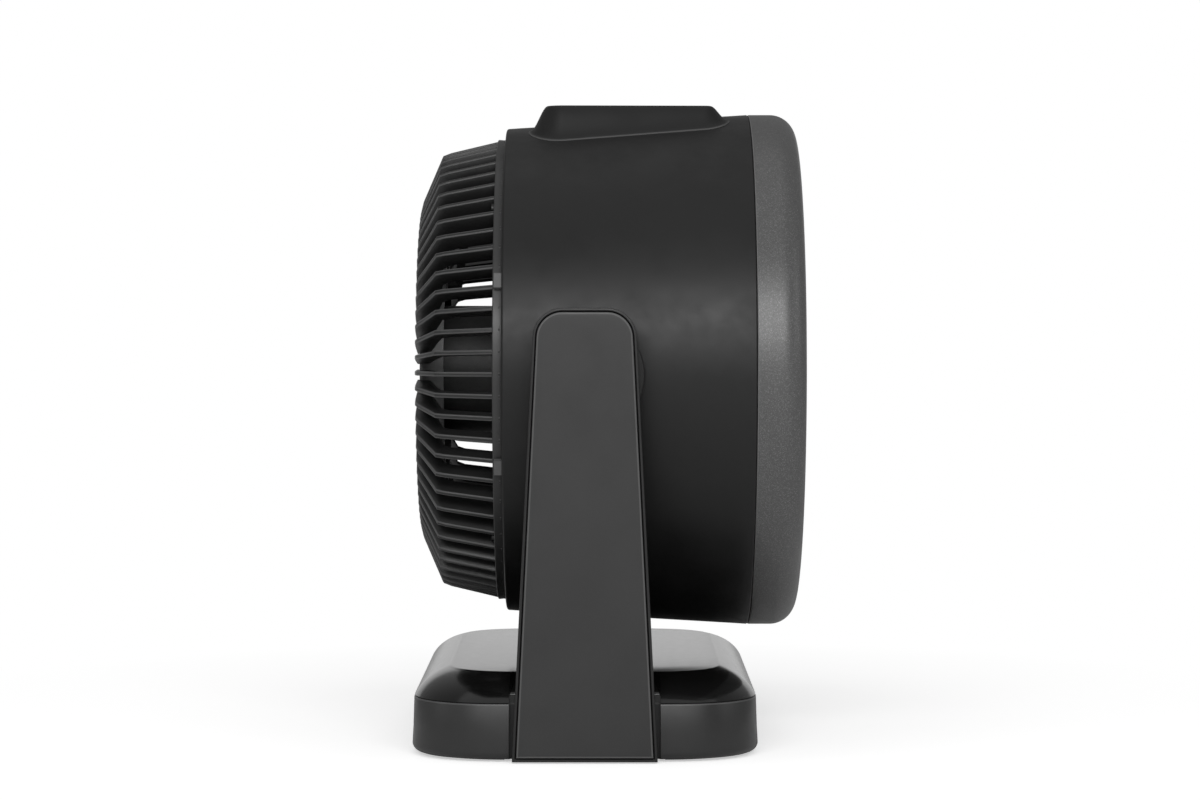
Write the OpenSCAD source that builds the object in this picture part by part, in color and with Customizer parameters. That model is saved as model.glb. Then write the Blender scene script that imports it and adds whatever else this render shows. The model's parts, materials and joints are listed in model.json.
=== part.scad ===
// Air circulator fan: a drum-shaped head that tilts between the two arms of a fork stand.
// The front of the fan faces -Y, the tilt axis runs along X and the floor is at z = 0.
// The origin lies on the floor, below the middle of the head's depth.

/* [Head] */
// Height of the fan axis and of the tilt axis above the floor
axis_z = 247; // [242:1:300]
// Outer radius of the bezel and of the drum's front edge
bezel_r = 175; // [165:1:176.5]
// Outer radius of the drum at its rear corner
drum_rear_r = 165.5; // [163:0.5:168]
// Distance from the tilt axis forward to the seam between drum and bezel
drum_front = 110.5; // [100:0.5:140]
// Distance from the tilt axis back to the drum's rear face
drum_rear = 54; // [50:0.5:64]
// Wall of the drum, the bezel and the other moulded shells
wall = 2.6; // [2:0.1:3.2]
// Depth of the bezel ring from the seam to its front plane
bezel_depth = 32.5; // [26:0.5:40]
// Radius of the bezel's rounded front edge
bezel_round = 17; // [8:0.5:19]
// Radius of the mouth of the bezel
mouth_r = 151; // [146:0.5:153]
// Clearance between pieces that are pushed together
fit = 0.3; // [0.2:0.05:0.5]

/* [Rear grille] */
// Outer radius of the grille's rim
cage_r = 158; // [154:0.5:160]
// Number of ribs around the rear grille
cage_ribs = 68; // [40:1:72]
// Thickness of a rib
cage_rib_t = 3.2; // [2.4:0.1:3.6]
// Depth of a rib, measured square to its outer edge
cage_rib_d = 14; // [10:0.5:16]
// Distance behind the drum at which the ribs turn inwards
cage_shoulder = 42; // [36:0.5:50]
// Outer radius at that shoulder
cage_shoulder_r = 148; // [140:0.5:150]
// Distance behind the drum of the flat back of the grille
cage_depth = 58.5; // [56:0.5:70]
// Outer radius of the flat back
cage_back_r = 113; // [100:0.5:120]
// Radius of the dish in the middle that carries the motor
dish_r = 74.5; // [66:0.5:84]

/* [Front grille] */
// Number of curved ribs in the inner zone
inner_ribs = 44; // [24:1:48]
// Number of curved ribs in the outer zone
outer_ribs = 66; // [36:1:72]
// Width of a front rib
rib_w = 2.2; // [1.6:0.1:2.6]
// Depth of the front grille along the fan axis
rib_depth = 6; // [4:0.5:8]
// Radius of the ring between the two zones
mid_ring_r = 90; // [80:1:100]
// Radius of the centre cap
cap_r = 38; // [32:1:44]

/* [Impeller] */
// Radius at the blade tips
blade_tip_r = 143; // [125:1:146]
// Radius of the hub
hub_r = 52; // [50:1:60]
// Depth of the hub
hub_depth = 58; // [50:1:66]
// Number of blades
blades = 5; // [3:1:7]
// Thickness of a blade
blade_t = 3; // [2.4:0.1:4]

/* [Motor] */
// Outer radius of the motor's two bells
motor_r = 44; // [42:0.5:46]
// Length of the motor over both bells
motor_len = 70; // [62:1:76]
// Radius of the shaft
shaft_r = 4; // [3:0.1:5]
// Running clearance between the shaft and its bearings
run_clear = 0.05; // [0.02:0.01:0.08]
// Air gap between rotor and stator
air_gap = 0.6; // [0.4:0.1:1]

/* [Control pod] */
// Height of the pod's flat top above the fan axis
pod_top = 179; // [179:0.5:184]
// Distance from the tilt axis forward to the pod's front foot
pod_front = 101; // [98:0.5:104]
// Distance from the tilt axis back to the pod's rear foot
pod_rear = 38.6; // [36:0.5:44]
// Half width of the pod's foot at the rear
pod_half_w = 66; // [58:0.5:70]
// Half width of the pod's foot at the front
pod_half_w_front = 62; // [48:0.5:66]
// How far the pod's sides lean in from foot to top
pod_lean = 12; // [8:0.5:14]
// Radius of a button
button_r = 7; // [6:0.25:7.5]
// Distance between button centres
button_pitch = 19; // [17:0.5:20]
// Travel of a button
button_travel = 1; // [0.6:0.1:1.2]

/* [Fork stand] */
// Distance from the middle plane to the inner face of an arm
arm_in = 179; // [178:0.5:184]
// Thickness of an arm with its cover
arm_t = 16; // [14:0.5:20]
// Width of an arm at its top
arm_top_w = 68.5; // [64:0.5:76]
// Width of an arm at the floor
arm_foot_w = 93; // [84:0.5:100]
// Height of the arm above the tilt axis
arm_over = 43; // [40:0.5:50]
// Radius of the arm's top corners
arm_round = 19; // [12:0.5:22]
// Thickness of the arm's rim around the cover
arm_rim = 2; // [1.6:0.1:2.4]
// Gap between the arm's rim and its cover
cover_gap = 0.6; // [0.4:0.1:0.8]
// How far the tilt axis lies in front of the middle of the arm
pivot_fwd = 2; // [0:0.5:4]
// Radius of the round bosses on the drum that face the arms
boss_r = 36.5; // [33:0.5:38]
// Radius of a tilt bolt
bolt_r = 7; // [6:0.25:8]
// Thickness of a friction disc
disc_t = 1.6; // [1.2:0.1:2]

/* [Base] */
// Half width of the base, side to side
base_half_x = 187; // [184:0.5:192]
// Half depth of the base, front to back
base_half_y = 113; // [105:0.5:130]
// Radius of the base's corners
base_corner = 62; // [50:1:80]
// Height of the seam between the base's wall and its top cover
seam_z = 37.5; // [34:0.5:42]
// Height of the flat top of the base
base_top_z = 54; // [50:0.5:56]
// Half width of the flat top, side to side
top_half_x = 148; // [136:1:156]
// Half depth of the flat top, front to back
top_half_y = 89; // [80:0.5:94]
// Clearance between an arm and the pocket of the base that holds it
pocket_gap = 2; // [1:0.25:3]
// Radius of a rubber foot
foot_r = 11; // [9:0.5:13]
// How far the feet lift the base off the floor
foot_lift = 1.5; // [1:0.25:2.5]
// Thickness of each steel slab that weighs the base down
weight_t = 9; // [6:0.5:12]
// Radius of the power lead
lead_r = 3; // [2.5:0.25:3.25]

/* [Hidden] */
$fn = 72;
eps = 0.01;

// Along the fan axis, distances f count forward from the tilt axis.
bezel_front = drum_front + bezel_depth;
cage_back = drum_rear + cage_depth;
fan_y = (bezel_front - cage_back) / 2;
pivot_y = fan_y - pivot_fwd;
arm_out = arm_in + arm_t;
arm_face = arm_out - 1.6;
arm_top_z = axis_z + arm_over;

// Rounding of small edges, and the step between drum and rear grille
drum_corner = 3;
edge = 0.8;
flange_in_r = cage_r - 10;
spigot_r = bezel_r - wall - fit;
spigot_len = 5.5;
seat_f = drum_front + 15;
seat_in_r = mouth_r - 5;

// Rear grille: its rim, and the inner edge of the ribs
rim_t = 6;
rim_w = 9;
rim_screw_at = cage_r - 5;
rim_screw_r = 1.5;
dish_inset = 1.5;
dish_f = dish_inset - cage_back;
dish_depth = 16;
dish_wall = 3;

// Motor, from back to front
motor_back = dish_f + dish_wall;
motor_front = motor_back + motor_len;
bell_wall = 3;
bell_floor = 1.2;
core_len = 30;
core_back = motor_back + (motor_len - core_len) / 2;
stator_r = motor_r - 6.5;
cavity_r = stator_r - 1.5;
rotor_r = 23;
coil_r = [26, 35];
coil_len = 8;
bearing_r = 11;
bearing_t = 7;
bearing_wall = 3;
motor_bolt_r = 1.5;
motor_bolt_at = motor_r - 3.2;
shaft_back = motor_back + bell_floor + 0.3;
cap_hole_r = 36;

// Impeller hub: a cup around the motor's nose, with the boss that takes the shaft
hub_overlap = 10;
hub_back = motor_front - hub_overlap;
hub_front = hub_back + hub_depth;
hub_wall = 3;
hub_boss_r = 10;
hub_boss_len = 30;
pin_r = 1.25;
pin_len = 17;
pin_f = hub_front - hub_boss_len + pin_r;
nut_t = 9;
shaft_front = hub_front + nut_t - 3;
cap_depth = 9;

// Pod and what it holds
pod_foot_z = drum_rear_r - 20;
pod_bend_z = drum_rear_r - 2;
pod_corner = 24;
pod_corner_front = 18;
pod_roof = 4;
panel_drop = 1;
panel_t = 1.4;
panel_mid_f = 31;
panel_half = [38, 50];
panel_corner = 8;
button_f = 6;
button_proud = 0.5;
button_top = pod_top - panel_drop + button_proud;
button_len = 6.4;
button_gap = 0.35;
flange_t = 1.2;
flange_over = 1.2;
switch_t = 3.6;
switch_half = 3.2;
board_t = 1.6;
board_top = button_top - button_len - button_travel - 0.3 - switch_t;
tray_half_x = 42;
tray_back = -14;
tray_front = 72;
tray_wall = 2;
tray_depth = 8;
tray_z = board_top - board_t - tray_depth;
tray_gap = 1;
window_half = [15, 4];
window_f = 56;
button_x = [for (i = [0:3]) (i - 1.5) * button_pitch];
pod_post_r = 3.5;
pod_screw_r = 1.4;
pod_screw_x = tray_half_x - pod_post_r - 0.5;
pod_screw_f = [tray_back + pod_post_r + 0.5, tray_front - pod_post_r - 0.5];

// Tilt joint, measured out from the middle plane
disc_gap = 0.2;
boss_face = arm_in - disc_t - 2 * disc_gap;
bore_clear = 0.05;
bolt_head_r = 13;
bolt_head_t = 4;
boss_in_r = drum_rear_r - 12;
bolt_in = boss_in_r + 2;
bolt_head_x = arm_in + wall + disc_gap;
bolt_out = bolt_head_x + bolt_head_t;
bolt_bore_r = lead_r + 0.6;
disc_r = 30;

// Base
arm_z = 1;
pocket_x = arm_in - fit;
pocket_half = arm_foot_w / 2 + pocket_gap;
plate_t = 2.5;
plate_top = foot_lift + plate_t;
deck_half = [104, 52];
deck_corner = 20;
post_r = 7;
post_at = [base_half_x - 47, base_half_y - 43];
base_screw_r = 2;
top_boss_h = 8;
top_corner = 50;
arm_screw_at = [[-32, 13], [32, 13], [-32, 28], [32, 28]];
arm_screw_r = 2;
arm_boss_r = 5;
arm_boss_len = 8;
gland_x = -60;
gland_r = 7.8;
gland_flange_r = 10;
gland_flange_t = 2;
gland_len = 15;
gland_pad = [13, 12];
lead_z = 21;
lead_x = bolt_out + lead_r + 0.4;
weight_half = [56, 40];
weight_x = 72;
foot_at = [base_half_x - 63, base_half_y - 36];

// A point on the drum's outside, f ahead of the tilt axis
function drum_r(f) = drum_rear_r
    + (f + drum_rear) * (bezel_r - drum_rear_r) / (drum_front + drum_rear);

// Points along an arc about c, from angle a0 to a1
function arc(c, r, a0, a1, n = 8) =
    [for (i = [0:n]) c + r * [cos(a0 + (a1 - a0) * i / n), sin(a0 + (a1 - a0) * i / n)]];

// Local z runs forward along the fan axis, local y upwards
module fan_axis(f = 0)
    translate([0, fan_y - f, axis_z])
        rotate([90, 0, 0])
            children();

// Local z runs outwards along the tilt axis on one side
module tilt_axis(side, out = 0)
    translate([side * out, pivot_y, axis_z])
        rotate([0, side * 90, 0])
            children();

// A flat shape drawn in y and z, from one distance off the middle plane to another
module on_side(side, from, to)
    mirror([side < 0 ? 1 : 0, 0, 0])
        translate([from, fan_y, 0])
            rotate([90, 0, 90])
                linear_extrude(to - from)
                    children();

// Above the fan axis: local x across, local y forward, local z up
module above(z = 0)
    translate([0, fan_y, axis_z + z])
        mirror([0, 1, 0])
            children();

module tube(r_out, r_in, h)
    difference() {
        cylinder(r = r_out, h = h);
        translate([0, 0, -1])
            cylinder(r = r_in, h = h + 2);
    }

module pan_screw(head_r, head_t, r, len)
    union() {
        cylinder(r = head_r, h = head_t);
        translate([0, 0, -len])
            cylinder(r = r, h = len + eps);
    }

module around(n, r, first = 0)
    for (i = [0:n - 1])
        rotate([0, 0, first + i * 360 / n])
            translate([r, 0, 0])
                children();

// Screws of the rear grille sit between two ribs, near each diagonal
module rim_screws()
    for (k = [0:3])
        rotate([0, 0, (floor(cage_ribs * (k / 4 + 1 / 8)) + 0.5) * 360 / cage_ribs])
            translate([rim_screw_at, 0, 0])
                children();

// Screws of the front grille
module seat_screws()
    around(6, seat_in_r + 2.6, 30)
        children();

module rounded(half, r)
    union() {
        square([2 * half.x, 2 * (half.y - r)], center = true);
        square([2 * (half.x - r), 2 * half.y], center = true);
        for (x = [-1, 1], y = [-1, 1])
            translate([x * (half.x - r), y * (half.y - r)])
                circle(r = r);
    }

// A lead along a line of points: one ring of corners at each point, mitred at the bends
lead_sides = 10;
function unit(v) = v / norm(v);
module lead(points) {
    n = len(points);
    way = [for (i = [0:n - 2]) unit(points[i + 1] - points[i])];
    up = cross(way[0], abs(way[0].z) < 0.9 ? [0, 0, 1] : [1, 0, 0]);
    // Carries a ring's corner on along its stretch to the plane of the next mitre
    function carry(p, i) =
        let (m = i < n - 1 ? unit(way[i - 1] + way[i]) : way[i - 1])
            p + way[i - 1] * ((points[i] - p) * m) / (way[i - 1] * m);
    u = unit(up);
    v = cross(way[0], u);
    first = [for (k = [0:lead_sides - 1])
        let (a = k * 360 / lead_sides) points[0] + lead_r * (u * cos(a) + v * sin(a))];
    rings = [for (i = 0, r = first; i < n; i = i + 1,
                  r = i < n ? [for (p = r) carry(p, i)] : r) r];
    polyhedron(
        [for (r = rings) each r],
        concat(
            [[for (k = [0:lead_sides - 1]) k]],
            [for (i = [0:n - 2], k = [0:lead_sides - 1])
                let (a = i * lead_sides + k, b = i * lead_sides + (k + 1) % lead_sides)
                    [a, a + lead_sides, b + lead_sides, b]],
            [[for (k = [lead_sides - 1:-1:0]) (n - 1) * lead_sides + k]]
        )
    );
}

module ring2d(r_out, r_in)
    difference() {
        circle(r = r_out);
        circle(r = r_in);
    }

// ---------- head ----------

module front_bezel()
    color("dimgray")
        fan_axis()
            difference() {
                rotate_extrude()
                    polygon(concat(
                        [[bezel_r - wall, drum_front], [bezel_r - edge, drum_front],
                         [bezel_r, drum_front + edge]],
                        arc([bezel_r - bezel_round, bezel_front - bezel_round], bezel_round, 0, 90, 14),
                        arc([mouth_r + 4, bezel_front - 4], 4, 90, 180, 6),
                        [[mouth_r, seat_f], [seat_in_r, seat_f], [seat_in_r, seat_f - wall],
                         [mouth_r + wall, seat_f - wall], [mouth_r + wall, bezel_front - 4]],
                        arc([bezel_r - bezel_round, bezel_front - bezel_round],
                            bezel_round - wall, 90, 0, 10)
                    ));
                seat_screws()
                    translate([0, 0, seat_f - wall - 1])
                        cylinder(r = 1.2, h = wall + 2);
            }

// A curved rib from one radius to another, leaning as it goes outwards
module curved_rib(r0, r1, sweep) {
    n = 6;
    mid = [for (i = [0:n]) let (t = i / n, r = r0 + (r1 - r0) * t, a = sweep * t * t)
        r * [cos(a), sin(a)]];
    way = [for (i = [0:n]) let (d = mid[min(i + 1, n)] - mid[max(i - 1, 0)]) d / norm(d)];
    polygon(concat(
        [for (i = [0:n]) mid[i] + rib_w / 2 * [-way[i].y, way[i].x]],
        [for (i = [n:-1:0]) mid[i] - rib_w / 2 * [-way[i].y, way[i].x]]
    ));
}

module front_grille()
    color([0.16, 0.16, 0.17])
        fan_axis(seat_f)
            difference() {
                union() {
                    linear_extrude(rib_depth)
                        ring2d(mouth_r - fit, mouth_r - 4);
                    linear_extrude(rib_depth) {
                        ring2d(mid_ring_r + rib_w / 2, mid_ring_r - rib_w / 2);
                        for (i = [0:inner_ribs - 1])
                            rotate(i * 360 / inner_ribs)
                                curved_rib(cap_r - 2, mid_ring_r, 24);
                        for (i = [0:outer_ribs - 1])
                            rotate(24 + i * 360 / outer_ribs)
                                curved_rib(mid_ring_r, mouth_r - 2, 26);
                    }
                    cylinder(r = cap_r - 1, h = rib_depth - 2);
                }
                seat_screws()
                    translate([0, 0, -1])
                        cylinder(r = 1.2, h = rib_depth - 1);
                translate([0, 0, -1])
                    cylinder(r = 2.5, h = rib_depth + 2);
                // the ribs stop under the cap
                translate([0, 0, rib_depth - 2])
                    cylinder(r = cap_r - 1 + fit, h = 3);
            }

module front_cap()
    color([0.2, 0.2, 0.21])
        fan_axis(seat_f + rib_depth - 2)
            union() {
                rotate_extrude()
                    polygon(concat(
                        [[0, 0], [cap_r - 1.2, 0]],
                        arc([cap_r - 4, cap_depth - 5], 3, 0, 90, 4),
                        [[cap_r * 0.55, cap_depth - 0.7], [0, cap_depth]]
                    ));
                translate([0, 0, -4])
                    cylinder(r = 2.4, h = 4 + eps);
            }

module drum_housing()
    color([0.18, 0.18, 0.19])
        difference() {
            union() {
                fan_axis()
                    rotate_extrude()
                        polygon(concat(
                            [[bezel_r - edge, drum_front], [bezel_r, drum_front - edge]],
                            arc([drum_rear_r - drum_corner, -drum_rear + drum_corner],
                                drum_corner, 0, -90, 4),
                            [[flange_in_r, -drum_rear], [flange_in_r, -drum_rear + wall],
                             [drum_rear_r - wall - 1, -drum_rear + wall],
                             [drum_rear_r - wall, -drum_rear + wall + 1],
                             [drum_r(drum_front - 14) - wall, drum_front - 14],
                             [spigot_r - wall, drum_front - 9],
                             [spigot_r - wall, drum_front + spigot_len],
                             [spigot_r, drum_front + spigot_len], [spigot_r, drum_front]]
                        ));
                for (side = [-1, 1])
                    difference() {
                        tilt_axis(side, boss_in_r - 4)
                            cylinder(r = boss_r, h = boss_face - boss_in_r + 4);
                        fan_axis(-boss_r - 10)
                            cylinder(r = boss_in_r, h = 2 * boss_r + 20);
                    }
            }
            for (side = [-1, 1])
                tilt_axis(side, boss_in_r - 10)
                    cylinder(r = bolt_r, h = 60);
            above(100)
                translate([-tray_half_x - tray_gap, tray_back - tray_gap, 0])
                    cube([2 * (tray_half_x + tray_gap), tray_front - tray_back + 2 * tray_gap, 100]);
            fan_axis(-drum_rear - 1)
                rim_screws()
                    cylinder(r = rim_screw_r, h = wall + 2);
        }

// Outline of one rib in r and f: its outer edge, then its inner edge back
cage_rib = [
    [cage_r, -drum_rear - 1], [cage_shoulder_r, -drum_rear - cage_shoulder],
    [cage_back_r, -cage_back], [dish_r - 1, -cage_back],
    [dish_r - 1, -cage_back + cage_rib_d * 0.6],
    [cage_back_r - 6, -cage_back + cage_rib_d],
    [cage_shoulder_r - cage_rib_d, -drum_rear - cage_shoulder + 5],
    [cage_r - cage_rib_d, -drum_rear - 1]
];

module rear_grille()
    color([0.13, 0.13, 0.14])
        difference() {
            fan_axis() {
                rotate_extrude()
                    polygon([[cage_r - rim_w, -drum_rear], [cage_r, -drum_rear],
                             [cage_r - 1.4, -drum_rear - rim_t],
                             [cage_r - rim_w, -drum_rear - rim_t]]);
                for (i = [0:cage_ribs - 1])
                    rotate([0, 0, i * 360 / cage_ribs])
                        translate([0, cage_rib_t / 2, 0])
                            rotate([90, 0, 0])
                                linear_extrude(cage_rib_t)
                                    polygon(cage_rib);
                rotate_extrude()
                    polygon([[cap_hole_r, dish_f], [dish_r, dish_f],
                             [dish_r, dish_f + dish_depth],
                             [dish_r - dish_wall, dish_f + dish_depth],
                             [dish_r - dish_wall, dish_f + dish_wall],
                             [cap_hole_r, dish_f + dish_wall]]);
            }
            fan_axis(-drum_rear - rim_t - 1)
                rim_screws()
                    cylinder(r = rim_screw_r, h = rim_t + 2);
            fan_axis(dish_f - 1)
                around(4, motor_bolt_at, 45)
                    cylinder(r = motor_bolt_r + 0.1, h = dish_wall + 2);
        }

module rear_cap()
    color([0.15, 0.15, 0.16])
        fan_axis(dish_f)
            rotate_extrude()
                polygon([[0, -1], [cap_hole_r - 8, -1], [cap_hole_r - 2, -0.5],
                         [cap_hole_r - 0.2, 0.3], [cap_hole_r - 0.2, dish_wall],
                         [cap_hole_r - 3, dish_wall], [cap_hole_r - 3, 1.5], [0, 1.5]]);

// Two catches above and two below the tilt axis, on the drum's rear face
module grille_latches()
    color([0.13, 0.13, 0.14])
        fan_axis(-drum_rear)
            for (a = [22, 158, 202, 338])
                rotate([0, 0, a])
                    translate([cage_r + fit, -5, -5])
                        cube([4, 10, 5]);

module grille_screws()
    color("gainsboro")
        fan_axis(-drum_rear - rim_t)
            rim_screws()
                mirror([0, 0, 1])
                    pan_screw(3.2, 1.6, rim_screw_r, rim_t + wall + 1);

module bezel_screws()
    color("gainsboro")
        fan_axis(seat_f - wall)
            seat_screws()
                mirror([0, 0, 1])
                    pan_screw(2.4, 1.4, 1.15, wall + rib_depth - 2.4);

// ---------- motor ----------

// One end bell, from its outer face at z = 0; the other is its mirror image
module bell()
    difference() {
        rotate_extrude()
            polygon([[shaft_r + 1.5, 0], [motor_r - 2, 0], [motor_r, 2], [motor_r, motor_len / 2],
                     [stator_r, motor_len / 2], [stator_r, (motor_len - core_len) / 2],
                     [cavity_r, (motor_len - core_len) / 2], [cavity_r, bell_wall],
                     [bearing_r + bearing_wall, bell_wall],
                     [bearing_r + bearing_wall, bell_floor + bearing_t],
                     [bearing_r, bell_floor + bearing_t], [bearing_r, bell_floor],
                     [shaft_r + 1.5, bell_floor]]);
        around(8, (cavity_r + bearing_r + bearing_wall) / 2, 22.5)
            translate([0, 0, -1])
                cylinder(r = 5, h = bell_wall + 2);
        around(4, motor_bolt_at, 45)
            translate([0, 0, -1])
                cylinder(r = motor_bolt_r, h = motor_len / 2 + 2);
    }

module motor_rear_bell()
    color("gray")
        fan_axis(motor_back)
            bell();

module motor_front_bell()
    color("gray")
        fan_axis(motor_front)
            mirror([0, 0, 1])
                bell();

module stator_core()
    color("slategray")
        fan_axis(core_back)
            difference() {
                cylinder(r = stator_r, h = core_len);
                translate([0, 0, -1])
                    cylinder(r = rotor_r + air_gap, h = core_len + 2);
            }

module stator_windings()
    color("peru")
        for (f = [core_back - coil_len, core_back + core_len])
            fan_axis(f)
                tube(coil_r[1], coil_r[0], coil_len);

module motor_bearings()
    color("silver")
        for (f = [motor_back + bell_floor, motor_front - bell_floor - bearing_t])
            fan_axis(f)
                tube(bearing_r, shaft_r + run_clear, bearing_t);

module motor_bolts()
    color("silver")
        fan_axis(dish_f)
            around(4, motor_bolt_at, 45)
                mirror([0, 0, 1])
                    pan_screw(3.4, dish_inset - 0.1, motor_bolt_r, dish_wall + motor_len - 2);

module run_capacitor()
    color([0.1, 0.1, 0.12])
        fan_axis(dish_f + dish_wall)
            translate([-14, motor_r + 6, 0])
                cube([28, 16, 13]);

module motor_shaft()
    color("silver")
        difference() {
            fan_axis(shaft_back)
                cylinder(r = shaft_r, h = shaft_front - shaft_back);
            fan_axis(pin_f)
                rotate([90, 0, 0])
                    cylinder(r = pin_r, h = 4 * shaft_r, center = true);
        }

module rotor_core()
    color("slategray")
        fan_axis(core_back)
            tube(rotor_r, shaft_r, core_len);

// ---------- impeller ----------

// Blade sections: a leaning, cambered strip whose pitch flattens towards the tip
blade_root = 0.6;
blade_steps = 8;
chord_steps = 6;
blade_mid_f = hub_front - hub_depth * 0.55;
function blade_point(s, c, side) =
    let (
        r = hub_r - blade_root + (blade_tip_r - hub_r + blade_root) * s,
        pitch = 48 - 24 * s,
        chord = 58 + 34 * s,
        camber = 0.1 * chord * (1 - pow(2 * c - 1, 2)),
        u = chord * (c - 0.5),
        thick = blade_t * (0.35 + 0.65 * (1 - pow(2 * c - 1, 2))) / 2,
        v = camber + side * thick,
        a = 20 * s * s + (u * cos(pitch) + v * sin(pitch)) / r * 180 / PI,
        f = blade_mid_f - u * sin(pitch) + v * cos(pitch)
    ) [r * cos(a), r * sin(a), f];

module blade() {
    across = chord_steps + 1;
    ring = 2 * across;
    points = [for (i = [0:blade_steps]) each concat(
        [for (j = [0:chord_steps]) blade_point(i / blade_steps, j / chord_steps, 1)],
        [for (j = [chord_steps:-1:0]) blade_point(i / blade_steps, j / chord_steps, -1)]
    )];
    // A four-cornered patch as two triangles
    function patch(a, b, c, d) = [[a, b, c], [a, c, d]];
    walls = [for (i = [0:blade_steps - 1], j = [0:ring - 1])
        let (k = (j + 1) % ring)
            each patch(i * ring + j, i * ring + k, (i + 1) * ring + k, (i + 1) * ring + j)];
    root = [for (j = [0:chord_steps - 1]) each patch(j, ring - 1 - j, ring - 2 - j, j + 1)];
    last = blade_steps * ring;
    tip = [for (j = [0:chord_steps - 1])
        each patch(last + j, last + j + 1, last + ring - 2 - j, last + ring - 1 - j)];
    polyhedron(points, concat(walls, root, tip), convexity = 4);
}

module impeller_hub()
    color([0.2, 0.2, 0.22])
        fan_axis()
            difference() {
                rotate_extrude()
                    polygon([[shaft_r, hub_front - hub_boss_len], [hub_boss_r, hub_front - hub_boss_len],
                             [hub_boss_r, hub_front - hub_wall], [hub_r - hub_wall, hub_front - hub_wall],
                             [hub_r - hub_wall, hub_back], [hub_r, hub_back],
                             [hub_r, hub_front - 4], [hub_r - 4, hub_front], [shaft_r, hub_front]]);
                translate([-pin_r - 0.05, -pin_len / 2 - 0.5, hub_front - hub_boss_len - 1])
                    cube([2 * pin_r + 0.1, pin_len + 1, 1 + 2 * pin_r + 0.05]);
            }

module impeller_blades()
    color([0.24, 0.24, 0.26])
        fan_axis()
            for (i = [0:blades - 1])
                rotate([0, 0, i * 360 / blades])
                    blade();

module drive_pin()
    color("silver")
        fan_axis(pin_f)
            rotate([90, 0, 0])
                cylinder(r = pin_r, h = pin_len, center = true);

module impeller_nut()
    color([0.2, 0.2, 0.22])
        fan_axis(hub_front)
            difference() {
                rotate_extrude()
                    polygon([[0, 0], [11, 0], [11, nut_t - 3], [8, nut_t], [0, nut_t]]);
                translate([0, 0, -1])
                    cylinder(r = shaft_r, h = nut_t - 2);
            }

// ---------- control pod ----------

module pod_shape(shrink, roof)
    hull()
        for (x = [-1, 1], end = [-1, 1])
            let (
                r = end < 0 ? pod_corner : pod_corner_front,
                w = end < 0 ? pod_half_w : pod_half_w_front,
                f = end < 0 ? -pod_rear + r : pod_front - r
            )
                translate([x * (w - r), f, pod_foot_z - (shrink > 0 ? 1 : 0)]) {
                    cylinder(r = r - shrink, h = pod_bend_z - pod_foot_z, $fn = 40);
                    cylinder(r = r - shrink - pod_lean, h = roof - pod_foot_z, $fn = 40);
                }

module control_pod()
    color([0.17, 0.17, 0.18])
        difference() {
            union() {
                difference() {
                    above()
                        pod_shape(0, pod_top);
                    above()
                        pod_shape(wall, pod_top - pod_roof + 1);
                }
                above(board_top)
                    pod_posts()
                        cylinder(r = pod_post_r, h = pod_top - pod_roof / 2 - board_top);
            }
            fan_axis()
                rotate_extrude()
                    polygon([[0, -drum_rear - 20], [drum_r(-drum_rear - 20) + 0.1, -drum_rear - 20],
                             [drum_r(drum_front + 20) + 0.1, drum_front + 20], [0, drum_front + 20]]);
            above(board_top - 1)
                pod_posts()
                    cylinder(r = pod_screw_r, h = 7);
            above(pod_top - panel_drop - panel_t)
                translate([0, panel_mid_f, 0])
                    linear_extrude(10)
                        rounded(panel_half + [fit, fit], panel_corner);
            above(pod_top - pod_roof - 1)
                for (x = button_x)
                    translate([x, button_f, 0])
                        cylinder(r = button_r + button_gap, h = pod_roof + 2);
            above(pod_top - pod_roof - 1)
                translate([0, window_f, 0])
                    linear_extrude(pod_roof + 2)
                        square(2 * (window_half - [2, 1.5]), center = true);
        }

module pod_posts()
    for (x = [-1, 1], f = pod_screw_f)
        translate([x * pod_screw_x, f, 0])
            children();

module control_panel()
    color([0.05, 0.05, 0.06])
        above(pod_top - panel_drop - panel_t)
            difference() {
                translate([0, panel_mid_f, 0])
                    linear_extrude(panel_t)
                        rounded(panel_half, panel_corner);
                for (x = button_x)
                    translate([x, button_f, -1])
                        cylinder(r = button_r + button_gap, h = panel_t + 2);
                translate([0, window_f, -1])
                    linear_extrude(panel_t + 2)
                        square(2 * (window_half + [0.1, 0.1]), center = true);
            }

module indicator_window()
    color([0.1, 0.3, 0.35])
        above(pod_top - panel_drop - panel_t)
            translate([0, window_f, 0])
                linear_extrude(panel_t)
                    square(2 * window_half, center = true);

// An open tray that holds the board, screwed up to the pod's four posts
module control_tray()
    color([0.3, 0.3, 0.32])
        above(tray_z)
            difference() {
                translate([-tray_half_x, tray_back, 0])
                    cube([2 * tray_half_x, tray_front - tray_back, tray_depth]);
                translate([-tray_half_x + 8, tray_back + 8, tray_wall])
                    cube([2 * tray_half_x - 16, tray_front - tray_back - 16, tray_depth]);
                translate([0, 0, -1])
                    pod_posts()
                        cylinder(r = pod_screw_r + 0.1, h = tray_depth + 2);
            }

module control_board()
    color("darkgreen")
        above(board_top - board_t)
            difference() {
                translate([-tray_half_x, tray_back, 0])
                    cube([2 * tray_half_x, tray_front - tray_back, board_t]);
                translate([0, 0, -1])
                    pod_posts()
                        cylinder(r = pod_screw_r + 0.1, h = board_t + 2);
            }

module button_switches()
    color("dimgray")
        above(board_top)
            for (x = button_x)
                translate([x - switch_half, button_f - switch_half, 0])
                    cube([2 * switch_half, 2 * switch_half, switch_t]);

module pod_screws()
    color("silver")
        above(tray_z)
            pod_posts()
                mirror([0, 0, 1])
                    pan_screw(2.6, 1.6, pod_screw_r, tray_depth + board_t + 5);

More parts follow.
